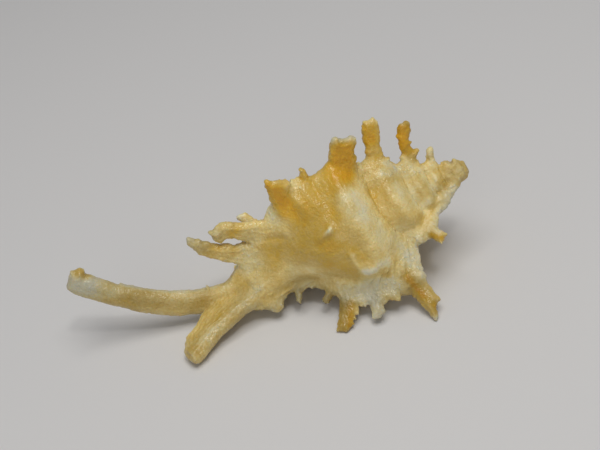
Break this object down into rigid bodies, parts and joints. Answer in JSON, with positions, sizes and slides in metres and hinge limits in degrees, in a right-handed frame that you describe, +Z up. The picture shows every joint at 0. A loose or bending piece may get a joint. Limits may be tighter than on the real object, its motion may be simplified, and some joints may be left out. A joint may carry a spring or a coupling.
{
  "type": "murex shell",
  "caption": "Small cream murex shell with spined varices, a long curved canal and an open mouth, lying aperture down as an ornament or specimen.",
  "frame": {"origin": "on the surface it rests on, under the middle of the shell's bounding box", "axes": "+Z up as the shell rests, +X along the shell towards the apex, -Y towards the side that the picture shows"},
  "size_m": [0.0497, 0.024, 0.0198],
  "materials": {
    "shell": "waxy cream shell with orange patches, slightly glossy"
  },
  "bodies": {
    "root": {"murex_shell": "shell"}
  },
  "joints": []
}
